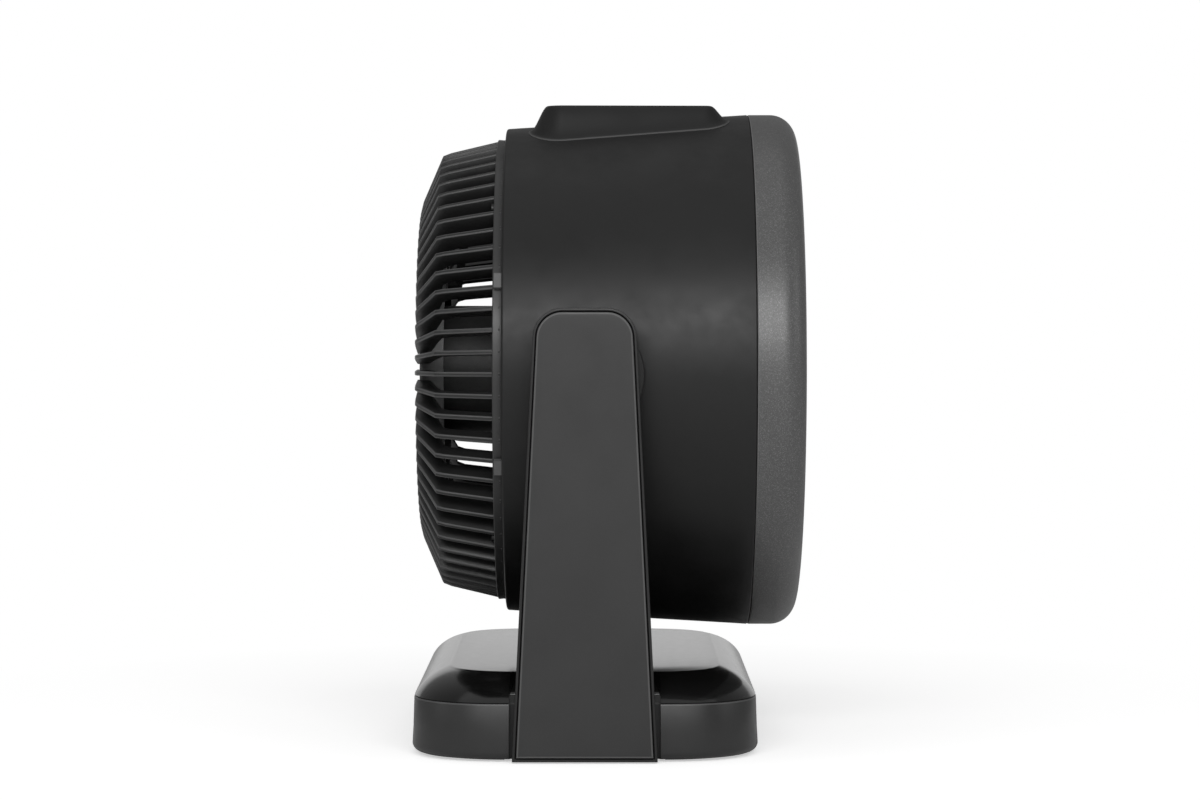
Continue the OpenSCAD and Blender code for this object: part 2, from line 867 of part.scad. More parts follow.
module button(i)
    color([0.24, 0.24, 0.25])
        above(button_top)
            translate([button_x[i], button_f, 0])
                mirror([0, 0, 1])
                    union() {
                        cylinder(r = button_r, h = button_len);
                        translate([0, 0, pod_roof - panel_drop + button_proud + 0.1])
                            cylinder(r = button_r + flange_over, h = flange_t);
                    }

module power_button() button(0);
module speed_button() button(1);
module timer_button() button(2);
module mode_button() button(3);

// ---------- tilt joint ----------

module pivot_bolts()
    color("silver")
        for (side = [-1, 1])
            tilt_axis(side)
                difference() {
                    union() {
                        translate([0, 0, bolt_in])
                            cylinder(r = bolt_r, h = bolt_out - bolt_in);
                        translate([0, 0, bolt_head_x])
                            cylinder(r = bolt_head_r, h = bolt_head_t);
                    }
                    translate([0, 0, bolt_in - 1])
                        cylinder(r = bolt_bore_r, h = bolt_out - bolt_in + 2);
                }

module friction_discs()
    color("black")
        for (side = [-1, 1])
            tilt_axis(side, boss_face + disc_gap)
                tube(disc_r, bolt_r + bore_clear, disc_t);

// From the capacitor up to the tray, and from the tray round the drum to the left tilt bolt
lead_round_r = boss_in_r - 5;
lead_rise_r = (blade_tip_r + drum_rear_r - wall) / 2;
lead_drop_a = 12;
module head_lead()
    color([0.08, 0.08, 0.08]) {
        translate([0, fan_y, axis_z])
            lead([
                [0, -dish_f - dish_wall - 13, motor_r + 14],
                [0, -dish_f - dish_wall - 20, motor_r + 14],
                [0, drum_rear + 24, 128], [0, drum_rear + 6, 138],
                [0, drum_rear - 4, 140], [0, drum_rear - 9, lead_rise_r],
                [0, 8 - tray_back, tray_z + lead_r + 0.2], [0, -tray_back, tray_z + lead_r + 0.2]
            ]);
        translate([0, pivot_y, axis_z])
            lead(concat(
                [[-lead_round_r * sin(lead_drop_a), 0, tray_z]],
                [for (a = [lead_drop_a:6:90]) lead_round_r * [-sin(a), 0, cos(a)]],
                [[0.2 - bolt_out, 0, 0]]
            ));
    }

// ---------- fork stand ----------

module arm_outline(inset) {
    top = arm_over + axis_z - inset;
    foot_half = arm_foot_w / 2 - inset;
    lean = (arm_foot_w - arm_top_w) / 2 / axis_z;
    top_half = foot_half - lean * (top - arm_round);
    bottom = arm_z + inset;
    r = arm_round - inset;
    union() {
        polygon([[-foot_half + lean * bottom, bottom], [foot_half - lean * bottom, bottom],
                 [top_half, top - r], [-top_half, top - r]]);
        translate([-top_half + r, top - r - 1])
            square([2 * (top_half - r), r + 1]);
        for (side = [-1, 1])
            translate([side * (top_half - r), top - r])
                circle(r = r);
    }
}

module arm(side)
    color([0.2, 0.2, 0.21])
        difference() {
            on_side(side, arm_in, arm_face)
                arm_outline(0);
            on_side(side, arm_in + wall, arm_face + 1)
                arm_outline(arm_rim);
            tilt_axis(side, arm_in - 1)
                cylinder(r = bolt_r + bore_clear, h = wall + 2);
            on_side(side, arm_in - 1, arm_in + wall + 1) {
                for (at = arm_screw_at)
                    translate(at)
                        circle(r = arm_screw_r);
                translate([-pivot_fwd, lead_z])
                    circle(r = lead_r + 1);
            }
        }

module arm_left() arm(-1);
module arm_right() arm(1);

module arm_cover(side)
    color([0.24, 0.24, 0.25])
        difference() {
            on_side(side, arm_in + wall, arm_out)
                arm_outline(arm_rim + cover_gap);
            on_side(side, arm_in + wall - 1, arm_out - 2.4)
                arm_outline(arm_rim + cover_gap + 1.8);
        }

module arm_cover_left() arm_cover(-1);
module arm_cover_right() arm_cover(1);

// From inside each arm into the bosses behind the base's pocket
module arm_screws()
    color("silver")
        for (side = [-1, 1], at = arm_screw_at)
            union() {
                on_side(side, pocket_x - wall - arm_boss_len + 1, arm_in + wall + eps)
                    translate(at)
                        circle(r = arm_screw_r);
                on_side(side, arm_in + wall, arm_in + wall + 2)
                    translate(at)
                        circle(r = 4);
            }

// ---------- base ----------

// Outline of the base with the arm pockets cut out of its two sides
module base_outline(inset)
    difference() {
        rounded([base_half_x - inset, base_half_y - inset], base_corner - inset);
        for (side = [-1, 1])
            translate([side * (pocket_x - inset + 50), 0])
                square([100, 2 * (pocket_half + inset)], center = true);
    }

module base_at(z)
    translate([0, fan_y, z])
        children();

module posts(z)
    base_at(z)
        for (x = [-1, 1], y = [-1, 1])
            translate([x * post_at[0], y * post_at[1], 0])
                children();

module base_shell()
    color([0.14, 0.14, 0.15])
        difference() {
            union() {
                base_at(foot_lift)
                    linear_extrude(seam_z - foot_lift)
                        difference() {
                            base_outline(0);
                            base_outline(wall);
                        }
                base_at(seam_z - wall)
                    linear_extrude(wall)
                        difference() {
                            base_outline(1);
                            rounded(deck_half, deck_corner);
                        }
                posts(plate_top)
                    cylinder(r = post_r, h = seam_z - wall / 2 - plate_top);
                for (side = [-1, 1], at = arm_screw_at)
                    on_side(side, pocket_x - wall - arm_boss_len, pocket_x - wall / 2)
                        translate(at)
                            circle(r = arm_boss_r);
                base_at(lead_z - gland_pad[1])
                    translate([gland_x - gland_pad[0], base_half_y - gland_len + 2, 0])
                        cube([2 * gland_pad[0], gland_len - 4, 2 * gland_pad[1]]);
            }
            for (side = [-1, 1]) {
                on_side(side, pocket_x - wall - arm_boss_len - 1, pocket_x + 1)
                    for (at = arm_screw_at)
                        translate(at)
                            circle(r = arm_screw_r);
                on_side(side, pocket_x - wall - 1, pocket_x + 1)
                    translate([-pivot_fwd, lead_z])
                        circle(r = lead_r + 1);
            }
            posts(plate_top - 1)
                cylinder(r = base_screw_r + 0.2, h = seam_z);
            base_at(lead_z)
                translate([gland_x, base_half_y + 1, 0])
                    rotate([90, 0, 0]) {
                        cylinder(r = gland_r + 0.1, h = gland_len + 5);
                        cylinder(r = gland_flange_r + 0.2, h = gland_flange_t + 1.3);
                    }
        }

// Slabs whose hull is the base's domed top
top_steps = [0, 0.35, 0.7, 1];
module top_shape(shrink)
    hull()
        for (t = top_steps)
            let (
                lean = 1 - sqrt(1 - t * t * 0.9999),
                half = [base_half_x, base_half_y] * (1 - lean) + [top_half_x, top_half_y] * lean,
                r = base_corner * (1 - lean) + top_corner * lean - shrink,
                top = base_top_z - shrink
            )
                translate([0, 0, t * (top - seam_z) - (shrink > 0 ? 1 - t : 0)])
                    for (x = [-1, 1], y = [-1, 1])
                        translate([x * (half.x - shrink - r), y * (half.y - shrink - r), -eps])
                            cylinder(r = r, h = eps, $fn = 48);

module base_top()
    color([0.1, 0.1, 0.11])
        difference() {
            union() {
                base_at(seam_z + eps)
                    difference() {
                        top_shape(0);
                        top_shape(wall);
                    }
                intersection() {
                    posts(seam_z)
                        cylinder(r = post_r, h = base_top_z);
                    base_at(seam_z)
                        top_shape(wall / 2);
                }
            }
            for (side = [-1, 1])
                base_at(seam_z)
                    translate([side * (pocket_x + 50), 0, 0])
                        cube([100, 2 * pocket_half, 100], center = true);
            posts(seam_z - 1)
                cylinder(r = base_screw_r, h = top_boss_h - 1);
        }

module base_plate()
    color([0.12, 0.12, 0.12])
        difference() {
            base_at(foot_lift)
                linear_extrude(plate_t)
                    base_outline(wall + fit);
            posts(foot_lift - 1)
                cylinder(r = base_screw_r + 0.2, h = plate_t + 2);
        }

module base_screws()
    color("silver")
        posts(foot_lift)
            mirror([0, 0, 1])
                pan_screw(4.2, 1.2, base_screw_r, seam_z + top_boss_h - 4 - foot_lift);

module counterweights()
    color("gray")
        base_at(plate_top)
            for (side = [-1, 1])
                translate([side * weight_x, 0, 0])
                    linear_extrude(weight_t)
                        rounded(weight_half, 8);

module rubber_feet()
    color([0.08, 0.08, 0.08])
        base_at(0)
            for (x = [-1, 1], y = [-1, 1])
                translate([x * foot_at[0], y * foot_at[1], 0])
                    cylinder(r = foot_r, h = foot_lift);

module cord_gland()
    color([0.08, 0.08, 0.08])
        base_at(lead_z)
            translate([gland_x, base_half_y - 0.3, 0])
                rotate([90, 0, 0])
                    difference() {
                        union() {
                            cylinder(r = gland_flange_r, h = gland_flange_t);
                            cylinder(r = gland_r, h = gland_len);
                        }
                        translate([0, 0, -1])
                            cylinder(r = lead_r + 0.1, h = gland_len + 2);
                    }

// From the gland through the base and up the left arm to its tilt bolt
module stand_lead()
    color([0.08, 0.08, 0.08])
        base_at(0)
            lead([
                [gland_x, base_half_y - gland_len + 4, lead_z], [gland_x, 50, lead_z],
                [-post_at[0], -pivot_fwd, lead_z], [-lead_x, -pivot_fwd, lead_z],
                [-lead_x, -pivot_fwd, axis_z], [-bolt_out + 0.1, -pivot_fwd, axis_z]
            ]);

front_bezel();
front_grille();
front_cap();
drum_housing();
rear_grille();
rear_cap();
motor_rear_bell();
motor_front_bell();
stator_core();
stator_windings();
motor_bearings();
motor_bolts();
run_capacitor();
bezel_screws();
grille_screws();
grille_latches();
control_pod();
control_panel();
control_tray();
control_board();
button_switches();
indicator_window();
pod_screws();
pivot_bolts();
head_lead();
impeller_hub();
impeller_blades();
impeller_nut();
drive_pin();
motor_shaft();
rotor_core();
power_button();
speed_button();
timer_button();
mode_button();
arm_left();
arm_right();
arm_cover_left();
arm_cover_right();
friction_discs();
arm_screws();
base_shell();
base_top();
base_plate();
counterweights();
rubber_feet();
base_screws();
cord_gland();
stand_lead();
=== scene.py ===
import json
import math

import bpy
import bmesh
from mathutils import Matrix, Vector


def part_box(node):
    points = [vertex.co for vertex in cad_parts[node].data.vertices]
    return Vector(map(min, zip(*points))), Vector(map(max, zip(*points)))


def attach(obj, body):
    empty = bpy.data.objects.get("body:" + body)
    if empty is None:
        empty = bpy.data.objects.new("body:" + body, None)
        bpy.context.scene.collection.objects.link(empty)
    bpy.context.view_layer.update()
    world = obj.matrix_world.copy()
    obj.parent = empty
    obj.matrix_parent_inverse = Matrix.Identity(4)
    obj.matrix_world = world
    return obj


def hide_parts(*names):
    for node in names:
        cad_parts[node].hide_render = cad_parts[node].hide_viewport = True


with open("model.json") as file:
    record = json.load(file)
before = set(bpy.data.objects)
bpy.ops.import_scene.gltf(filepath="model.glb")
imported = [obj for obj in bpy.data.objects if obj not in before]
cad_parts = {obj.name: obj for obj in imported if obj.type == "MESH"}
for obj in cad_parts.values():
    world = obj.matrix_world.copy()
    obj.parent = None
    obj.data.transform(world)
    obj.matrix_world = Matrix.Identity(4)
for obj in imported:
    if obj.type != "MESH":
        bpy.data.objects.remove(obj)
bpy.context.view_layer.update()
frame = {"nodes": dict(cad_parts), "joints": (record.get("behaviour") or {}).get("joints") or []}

# ---------------------------------------------------------------- frame
# Lengths below are millimetres; MM turns them into the frame's metres.
MM = 0.001
joints = {j["name"]: j for j in frame["joints"]}
FAN = Vector(joints["impeller_spin"]["pos_m"])
PIVOT = Vector(joints["head_tilt"]["pos_m"])


def span(node, axis):
    """A CAD node's lowest and highest place along one axis, in millimetres."""
    lo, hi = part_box(node)
    return lo[axis] / MM, hi[axis] / MM


def forward(y_mm):
    """Distance ahead of the fan's middle, from a place along Y."""
    return FAN.y / MM - y_mm


AXIS_Z = FAN.z / MM
BEZEL_F, SEAM_F = [forward(y) for y in span("front_bezel", 1)]
BEZEL_R = span("front_bezel", 0)[1]
DRUM_BACK = forward(span("rear_grille", 1)[0])
CAGE_BACK = forward(span("rear_grille", 1)[1])
CAGE_R = span("rear_grille", 0)[1]
GRILLE_F = [forward(y) for y in span("front_grille", 1)]
MOUTH_R = span("front_grille", 0)[1] + 0.3
POD_TOP = span("control_pod", 2)[1] - AXIS_Z
POD_F = [forward(y) for y in span("control_pod", 1)]
ARM_IN = span("arm_right", 0)[0]
ARM_FACE = span("arm_right", 0)[1]
ARM_OUT = span("arm_cover_right", 0)[1]
ARM_TOP = span("arm_right", 2)[1]
ARM_Z = span("arm_right", 2)[0]
BASE_X = span("base_shell", 0)[1]
BASE_Y = span("base_shell", 1)[1] - FAN.y / MM
BASE_Z = span("base_shell", 2)[0]
SEAM_Z = span("base_shell", 2)[1]
BASE_TOP = span("base_top", 2)[1]
HUB_F = [forward(y) for y in span("impeller_hub", 1)]
HUB_R = span("impeller_hub", 0)[1]

# Sizes that a node's box does not give, as the construction has them
WALL = 2.6
DRUM_REAR_R = 165.5
BEZEL_ROUND = 17
ARM_FOOT_W = 93
ARM_TOP_W = 68.5
ARM_ROUND = 19
ARM_RIM = 2
COVER_INSET = 2.6
CAGE_RIBS = 68
CAGE_RIB_T = 3.2
CAGE_RIB_D = 14
CAGE_SHOULDER = 42
CAGE_SHOULDER_R = 148
CAGE_BACK_R = 113
DISH_R = 74.5
DISH_F = CAGE_BACK + 1.5
CAP_HOLE_R = 36
BOSS_R = 36.5
POCKET_HALF = ARM_FOOT_W / 2 + 2
POCKET_X = ARM_IN - 0.3
BASE_CORNER = 62
TOP_X, TOP_Y, TOP_CORNER = 148, 89, 50


def drum_r(f):
    return DRUM_REAR_R + (f - DRUM_BACK) * (BEZEL_R - DRUM_REAR_R) / (SEAM_F - DRUM_BACK)


# ---------------------------------------------------------------- mesh helpers
def head_point(x, up, f):
    """A place in the head: across, above the fan axis, ahead of the fan's middle."""
    return (x * MM, FAN.y - f * MM, FAN.z + up * MM)


def stand_point(x, back, z):
    """A place in the stand: across, behind its middle, above the floor."""
    return (x * MM, FAN.y + back * MM, z * MM)


def arc(cx, cy, r, a0, a1, n=12):
    """Points along an arc about (cx, cy), angles in degrees."""
    turns = [math.radians(a0 + (a1 - a0) * i / n) for i in range(n + 1)]
    return [(cx + r * math.cos(a), cy + r * math.sin(a)) for a in turns]


def lerp(a, b, t):
    return a + (b - a) * t


def smooth(t):
    t = max(0.0, min(1.0, t))
    return t * t * (3 - 2 * t)


def piece(name, build, material, body, replaces=(), sharp=35):
    """A mesh of the object: shaded, with its finish, riding on its body."""
    mesh = bpy.data.meshes.new(name)
    mesh.from_pydata([tuple(v) for v in build.verts], [], build.faces)
    # painted light: each face's painted highlight goes into a face attribute, which the materials mix toward
    # a lighter grey
    if any(build.painted_lights):
        mesh.attributes.new("painted_light", "FLOAT", "FACE").data.foreach_set("value", build.painted_lights)
    bm = bmesh.new()
    bm.from_mesh(mesh)
    bmesh.ops.remove_doubles(bm, verts=bm.verts, dist=1e-6)
    bmesh.ops.dissolve_degenerate(bm, edges=bm.edges, dist=1e-7)
    bmesh.ops.recalc_face_normals(bm, faces=bm.faces)
    bm.to_mesh(mesh)
    bm.free()
    obj = bpy.data.objects.new(name, mesh)
    bpy.context.scene.collection.objects.link(obj)
    shade(obj, sharp)
    mesh.materials.append(material)
    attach(obj, body)
    if replaces:
        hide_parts(*replaces)
    return obj


def shade(obj, sharp):
    mesh = obj.data
    mesh.polygons.foreach_set("use_smooth", [True] * len(mesh.polygons))
    mesh.set_sharp_from_angle(angle=math.radians(sharp))


class Build:
    """Gathers the vertices and faces of one piece, and the painted light on each face: how much lighter it is
    painted, as a painted highlight or a lift out of shade.
    """

    def __init__(self):
        self.verts = []
        self.faces = []
        self.painted_lights = []

    def add(self, verts, faces, painted_lights=None):
        start = len(self.verts)
        self.verts += list(verts)
        self.faces += [[start + i for i in f] for f in faces]
        self.painted_lights += painted_lights or [0.0] * len(faces)

    def rings(self, rings, closed_along=False, caps=False, painted_lights=(), levels=()):
        """Joins rings of equal length, each to the next; painted highlights are given by strip in one mapping
        and by ring in levels.
        """
        n, m = len(rings), len(rings[0])
        faces, painted_by_face = [], []
        painted_lights, levels = dict(painted_lights), dict(levels)
        for i in range(n if closed_along else n - 1):
            j = (i + 1) % n
            for k in range(m):
                l = (k + 1) % m
                faces.append([i * m + k, i * m + l, j * m + l, j * m + k])
                # a face takes the lighter painted highlight of its strip or of its ring
                painted_by_face.append(max(painted_lights.get(k, 0.0), levels.get(i, 0.0)))
        if caps:
            faces.append(list(range(m))[::-1])
            faces.append([(n - 1) * m + k for k in range(m)])
            painted_by_face += [0.0, 0.0]
        self.add([p for r in rings for p in r], faces, painted_by_face)

    def revolve(self, outline, place, steps=180, painted_lights=()):
        """Turns an outline of (radius, distance) about an axis; place(x, y, distance) sets it."""
        rings = []
        for i in range(steps):
            a = 2 * math.pi * i / steps
            rings.append([place(r * math.cos(a), r * math.sin(a), d) for r, d in outline])
        self.rings(rings, closed_along=True, painted_lights=painted_lights)

    def extrude(self, outline, place, d0, d1):
        """A flat outline between two distances."""
        self.rings([[place(u, v, d) for u, v in outline] for d in (d0, d1)], caps=True)


def on_side(side):
    """Places (back, up, out) on one side of the stand."""
    return lambda back, z, out: stand_point(side * out, back, z)


def on_tilt_axis(side):
    def place(a, b, out):
        return (side * out * MM, PIVOT.y + a * MM, PIVOT.z + b * MM)
    return place


# ---------------------------------------------------------------- materials
class Nodes:
    """Short names for building a node material."""

    def __init__(self, name):
        self.material = bpy.data.materials.new(name)
        self.material.use_nodes = True
        self.tree = self.material.node_tree
        self.bsdf = self.tree.nodes["Principled BSDF"]
        self.coords = self.new("ShaderNodeTexCoord").outputs["Object"]

    def new(self, kind, **values):
        node = self.tree.nodes.new(kind)
        for key, value in values.items():
            if hasattr(node, key):
                setattr(node, key, value)
            else:
                node.inputs[key.replace("_", " ")].default_value = value
        return node

    def link(self, a, b):
        self.tree.links.new(a, b)

    def noise(self, scale, detail=3.0, rough=0.5, stretch=None):
        node = self.new("ShaderNodeTexNoise", Scale=scale, Detail=detail, Roughness=rough)
        if stretch:
            mapping = self.new("ShaderNodeMapping")
            mapping.inputs["Scale"].default_value = stretch
            self.link(self.coords, mapping.inputs["Vector"])
            self.link(mapping.outputs["Vector"], node.inputs["Vector"])
        else:
            self.link(self.coords, node.inputs["Vector"])
        return node.outputs["Fac"]

    def spread(self, value, low, high, from_low=0.3, from_high=0.7):
        node = self.new("ShaderNodeMapRange", clamp=True)
        for key, number in zip(("From Min", "From Max", "To Min", "To Max"),
                               (from_low, from_high, low, high)):
            node.inputs[key].default_value = number
        self.link(value, node.inputs["Value"])
        return node.outputs["Result"]

    def mix(self, fac, a, b):
        node = self.new("ShaderNodeMix", data_type="RGBA")
        for socket, value in ((node.inputs[6], a), (node.inputs[7], b)):
            if isinstance(value, tuple):
                socket.default_value = value
            else:
                self.link(value, socket)
        if isinstance(fac, float):
            node.inputs[0].default_value = fac
        else:
            self.link(fac, node.inputs[0])
        return node.outputs[2]

    def bump(self, height, strength, distance, under=None):
        node = self.new("ShaderNodeBump", Strength=strength, Distance=distance * MM)
        self.link(height, node.inputs["Height"])
        if under:
            self.link(under, node.inputs["Normal"])
        return node.outputs["Normal"]


GRAIN_SIZE = 0.45


def grey(level, warm=0.0):
    return (level * (1 + warm), level, level * (1 - warm), 1.0)


def plastic(name, level, rough, grain=0.6, spec=0.5):
    """Moulded plastic: a fine spark-eroded grain, faint flow marks and uneven sheen."""
    n = Nodes(name)
    flow = n.noise(9, 2.0, 0.5)
    cloud = n.noise(38, 3.0, 0.6)
    fine = n.noise(1000 / GRAIN_SIZE, 2.0, 0.65)
    pits = n.noise(420 / GRAIN_SIZE, 2.0, 0.5)
    colour = n.mix(n.spread(flow, 0.0, 1.0), grey(level * 0.86), grey(level * 1.14))
    colour = n.mix(n.spread(fine, 0.0, 0.35), colour, grey(level * 1.7))
    # painted highlight: faces marked with painted light are mixed toward a lighter grey
    painted_light = n.new("ShaderNodeAttribute", attribute_name="painted_light").outputs["Fac"]
    colour = n.mix(painted_light, colour, grey(level + 0.16))
    n.link(colour, n.bsdf.inputs["Base Color"])
    n.link(n.spread(cloud, rough - 0.06, rough + 0.07), n.bsdf.inputs["Roughness"])
    n.bsdf.inputs["Specular IOR Level"].default_value = spec
    bumps = n.bump(fine, grain * 0.5, 0.035)
    bumps = n.bump(pits, grain * 0.35, 0.06, bumps)
    n.link(bumps, n.bsdf.inputs["Normal"])
    return n.material


def gloss(name, level, rough=0.06, warm=0.0):
    """Polished plastic: nearly a mirror, with faint waviness, smears and dust."""
    n = Nodes(name)
    wave = n.noise(14, 2.0, 0.5)
    wipe = n.noise(150, 3.0, 0.6)
    dust = n.noise(1500, 2.0, 0.6)
    colour = n.mix(n.spread(wave, 0.0, 1.0), grey(level * 0.9, warm), grey(level * 1.15, warm))
    colour = n.mix(n.spread(dust, 0.0, 0.12, 0.62, 0.8), colour, grey(level * 6 + 0.01, warm))
    n.link(colour, n.bsdf.inputs["Base Color"])
    n.link(n.spread(wipe, rough, rough + 0.025), n.bsdf.inputs["Roughness"])
    n.bsdf.inputs["Specular IOR Level"].default_value = 0.5
    n.link(n.bump(wave, 0.03, 0.1), n.bsdf.inputs["Normal"])
    return n.material


def fleck_paint(name, level, rough):
    """Dark metallic paint: tiny bright flakes in a satin ground, faintly mottled."""
    n = Nodes(name)
    flakes = n.new("ShaderNodeTexVoronoi", Scale=2400.0, Randomness=1.0)
    n.link(n.coords, flakes.inputs["Vector"])
    cells = n.new("ShaderNodeSeparateColor")
    n.link(flakes.outputs["Color"], cells.inputs["Color"])
    cloud = n.noise(26, 3.0, 0.6)
    haze = n.noise(7, 2.0, 0.5)
    peel = n.noise(520, 2.0, 0.5)
    colour = n.mix(n.spread(haze, 0.0, 1.0), grey(level * 0.88), grey(level * 1.1))
    colour = n.mix(n.spread(cells.outputs["Red"], 0.0, 1.0, 0.72, 1.0), colour, grey(level * 1.8))
    colour = n.mix(n.spread(cells.outputs["Green"], 0.0, 0.6, 0.7, 1.0), colour, grey(level * 0.6))
    # painted highlight: faces marked with painted light are mixed toward a lighter grey
    painted_light = n.new("ShaderNodeAttribute", attribute_name="painted_light").outputs["Fac"]
    colour = n.mix(painted_light, colour, grey(level + 0.2))
    n.link(colour, n.bsdf.inputs["Base Color"])
    n.link(n.spread(cloud, rough - 0.04, rough + 0.05), n.bsdf.inputs["Roughness"])
    n.bsdf.inputs["Metallic"].default_value = 0.35
    n.bsdf.inputs["Specular IOR Level"].default_value = 0.5
    n.link(n.bump(peel, 0.25, 0.03, n.bump(cells.outputs["Blue"], 0.12, 0.02)),
           n.bsdf.inputs["Normal"])
    return n.material


def metal(name, level, rough, stretch=None, warm=0.0, scale=300.0):
    """Bare metal with brushed or cast marks."""
    n = Nodes(name)
    marks = n.noise(scale, 4.0, 0.65, stretch=stretch)
    cloud = n.noise(40, 3.0, 0.6)
    colour = n.mix(n.spread(cloud, 0.0, 1.0), grey(level * 0.82, warm), grey(level * 1.1, warm))
    n.link(colour, n.bsdf.inputs["Base Color"])
    n.link(n.spread(marks, rough - 0.08, rough + 0.12), n.bsdf.inputs["Roughness"])
    n.bsdf.inputs["Metallic"].default_value = 1.0
    n.link(n.bump(marks, 0.35, 0.03), n.bsdf.inputs["Normal"])
    return n.material


def laminated(name, level):
    """Stacked sheet steel: fine dark lines across the stack."""
    n = Nodes(name)
    wave = n.new("ShaderNodeTexWave", wave_type="BANDS", bands_direction="Y", Scale=320.0, Distortion=0.3)
    n.link(n.coords, wave.inputs["Vector"])
    colour = n.mix(wave.outputs["Fac"], grey(level * 0.4), grey(level))
    n.link(colour, n.bsdf.inputs["Base Color"])
    n.link(n.spread(n.noise(90), 0.35, 0.6), n.bsdf.inputs["Roughness"])
    n.bsdf.inputs["Metallic"].default_value = 0.8
    n.link(n.bump(wave.outputs["Fac"], 0.4, 0.1), n.bsdf.inputs["Normal"])
    return n.material


def wound_copper(name):
    """Enamelled wire wound in layers."""
    n = Nodes(name)
    wave = n.new("ShaderNodeTexWave", wave_type="RINGS", rings_direction="Y", Scale=160.0, Distortion=1.5)
    n.link(n.coords, wave.inputs["Vector"])
    colour = n.mix(wave.outputs["Fac"], (0.09, 0.025, 0.008, 1), (0.5, 0.17, 0.05, 1))
    n.link(colour, n.bsdf.inputs["Base Color"])
    n.link(n.spread(n.noise(120), 0.25, 0.4), n.bsdf.inputs["Roughness"])
    n.bsdf.inputs["Metallic"].default_value = 0.7
    n.link(n.bump(wave.outputs["Fac"], 0.7, 0.3), n.bsdf.inputs["Normal"])
    return n.material


def circuit_board(name):
    """Lacquered board with a pattern of tracks under the lacquer."""
    n = Nodes(name)
    brick = n.new("ShaderNodeTexBrick", Scale=160.0)
    n.link(n.coords, brick.inputs["Vector"])
    brick.inputs["Color1"].default_value = (0.008, 0.09, 0.03, 1)
    brick.inputs["Color2"].default_value = (0.012, 0.13, 0.045, 1)
    brick.inputs["Mortar"].default_value = (0.05, 0.2, 0.06, 1)
    n.link(brick.outputs["Color"], n.bsdf.inputs["Base Color"])
    n.link(n.spread(n.noise(300), 0.25, 0.4), n.bsdf.inputs["Roughness"])
    n.link(n.bump(brick.outputs["Fac"], 0.2, 0.05), n.bsdf.inputs["Normal"])
    return n.material


paint = fleck_paint("bezel paint", 0.105, 0.4)
drum_black = plastic("drum black", 0.0058, 0.44, spec=0.38)
cage_black = plastic("cage black", 0.012, 0.4, grain=0.5, spec=0.5)
arm_black = plastic("arm black", 0.012, 0.42, spec=0.45)
cover_black = plastic("cover black", 0.022, 0.44, spec=0.5)
base_black = plastic("base black", 0.021, 0.38, spec=0.5)
base_gloss = gloss("base gloss", 0.0045, 0.14)
panel_gloss = gloss("panel gloss", 0.006, 0.08)
latch_grey = plastic("latch grey", 0.09, 0.4, grain=0.35)
key_grey = plastic("key grey", 0.06, 0.36, grain=0.35)
blade_black = plastic("blade black", 0.03, 0.27, grain=0.25)
tray_grey = plastic("tray grey", 0.09, 0.5)
rubber_black = plastic("rubber black", 0.012, 0.75, grain=0.8, spec=0.3)
steel = metal("zinc steel", 0.55, 0.32, stretch=(1.0, 0.1, 1.0))
cast_alloy = metal("cast alloy", 0.05, 0.5, scale=900.0)
black_steel = metal("black steel", 0.05, 0.4)
stack_steel = laminated("stacked steel", 0.25)
ballast_iron = metal("ballast iron", 0.16, 0.62, scale=500.0)
copper = wound_copper("copper coils")
board_green = circuit_board("board green")
window_dark = gloss("window smoke", 0.012, 0.1, warm=-0.2)

for node, material in {
    "rear_cap": cage_black, "grille_latches": latch_grey, "control_panel": panel_gloss,
    "indicator_window": window_dark, "control_tray": tray_grey, "control_board": board_green,
    "button_switches": tray_grey, "run_capacitor": tray_grey, "motor_rear_bell": cast_alloy,
    "motor_front_bell": cast_alloy, "stator_core": stack_steel, "stator_windings": copper,
    "rotor_core": stack_steel, "motor_bearings": steel, "motor_bolts": steel,
    "bezel_screws": black_steel, "grille_screws": black_steel, "pod_screws": steel, "pivot_bolts": steel,
    "drive_pin": steel, "motor_shaft": steel, "arm_screws": steel, "base_screws": steel,
    "head_lead": rubber_black, "stand_lead": rubber_black, "friction_discs": rubber_black,
    "cord_gland": rubber_black, "rubber_feet": rubber_black, "counterweights": ballast_iron,
    "base_plate": base_black,
}.items():
    obj = frame["nodes"][node]
    obj.data.materials.clear()
    obj.data.materials.append(material)
    shade(obj, 32)

# ---------------------------------------------------------------- head: bezel and drum
def make_bezel():
    b = Build()
    mid_r, mid_f = BEZEL_R - BEZEL_ROUND, BEZEL_F - BEZEL_ROUND
    seat = GRILLE_F[1]
    outline = [(BEZEL_R - WALL, SEAM_F + 0.2), (BEZEL_R - 1.0, SEAM_F + 0.2)]
    outline += arc(BEZEL_R - 0.9, SEAM_F + 1.1, 0.9, -90, 0, 5)
    outline += arc(mid_r, mid_f, BEZEL_ROUND, 0, 90, 28)
    outline += arc(MOUTH_R + 4, BEZEL_F - 4, 4, 90, 180, 10)
    outline += [(MOUTH_R, seat + 0.5), (MOUTH_R - 0.5, seat), (MOUTH_R - 5, seat),
                (MOUTH_R - 5, seat - WALL), (MOUTH_R + WALL, seat - WALL),
                (MOUTH_R + WALL, BEZEL_F - 4)]
    outline += arc(mid_r, mid_f, BEZEL_ROUND - WALL, 90, 0, 10)
    # painted highlight: the rounded edge at the seam is painted lighter, as if it caught the light
    b.revolve(outline, head_point, 256, painted_lights={k: 0.5 for k in range(2, 6)})
    piece("bezel_ring", b, paint, "head", ["front_bezel"], 32)


